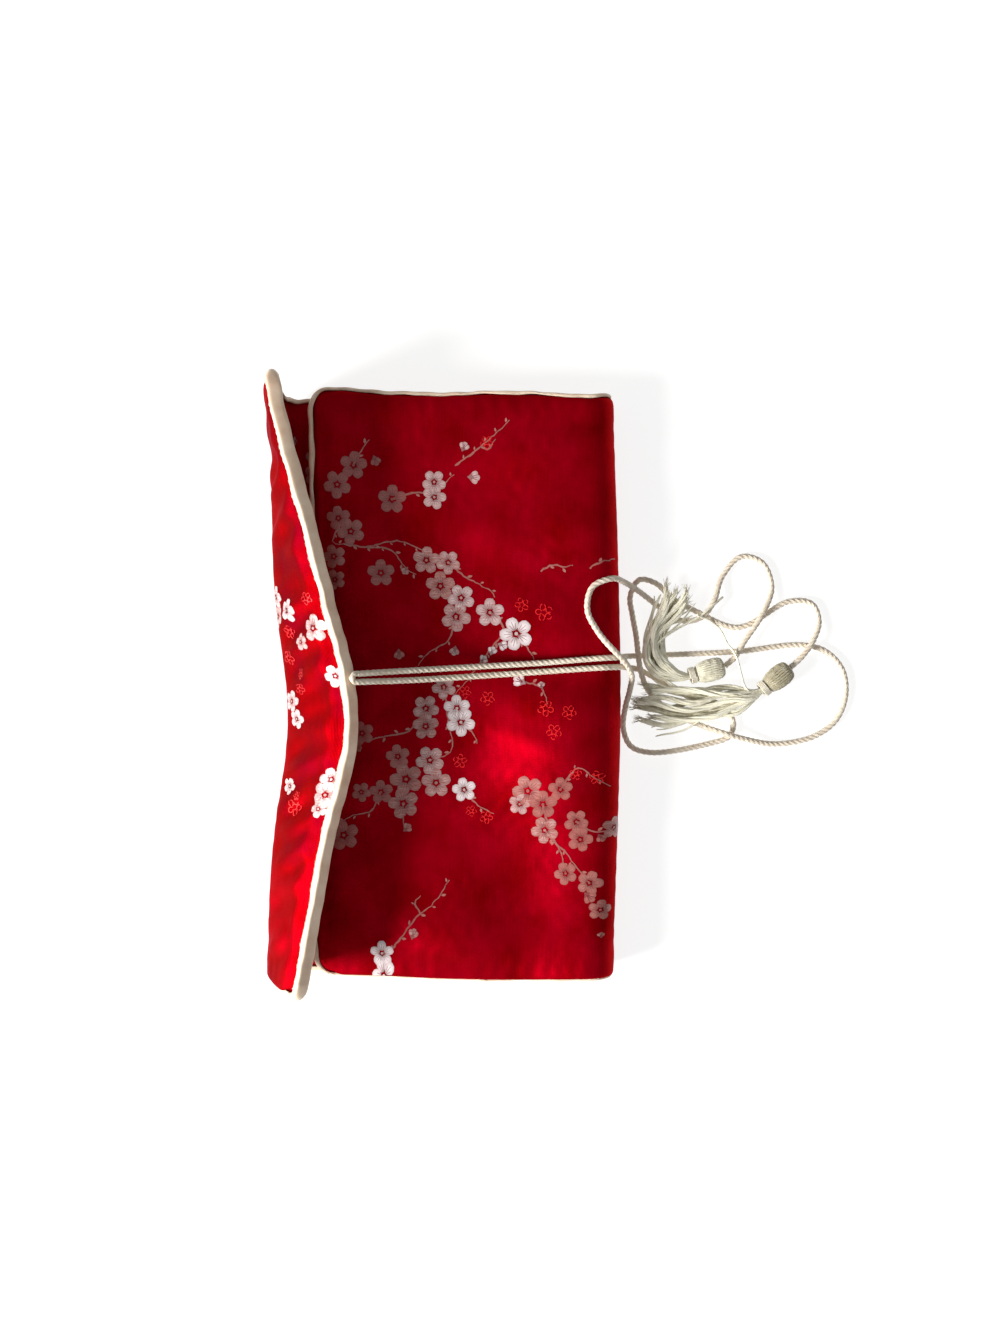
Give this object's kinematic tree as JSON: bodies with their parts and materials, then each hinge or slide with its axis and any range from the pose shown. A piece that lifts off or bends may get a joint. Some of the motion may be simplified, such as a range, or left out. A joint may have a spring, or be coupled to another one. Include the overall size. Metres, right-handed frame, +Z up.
{
  "type": "jewelry roll",
  "caption": "Folded brocade jewelry roll with a satin-bound padded panel, a lifted closing flap, slip pockets inside, and a doubled tie cord ending in tassels.",
  "frame": {"origin": "bottom centre of the folded roll, on the table, measured without the cord and its tassels", "axes": "+X across the roll towards its right fold and the tassels, +Y along the roll, +Z up from the table"},
  "size_m": [0.2378, 0.2366, 0.049],
  "materials": {
    "brocade": "red satin brocade with silver plum blossom",
    "lining": "red brocade lining",
    "binding_satin": "ivory satin bias binding",
    "twisted_cord": "ivory twisted cord",
    "tassel_yarn": "cream rayon yarn",
    "tassel_thread": "ivory thread wrapping"
  },
  "bodies": {
    "root": {"padded_panel": "brocade", "edge_binding": "binding_satin", "middle_pocket": "lining", "front_pocket": "lining", "cord_bight": "twisted_cord", "cord_upper": "twisted_cord", "cord_lower": "twisted_cord", "tassel_1_head": "tassel_yarn", "tassel_1_tie": "tassel_thread", "tassel_1_skirt": "tassel_yarn", "tassel_2_head": "tassel_yarn", "tassel_2_tie": "tassel_thread", "tassel_2_skirt": "tassel_yarn"}
  },
  "joints": []
}
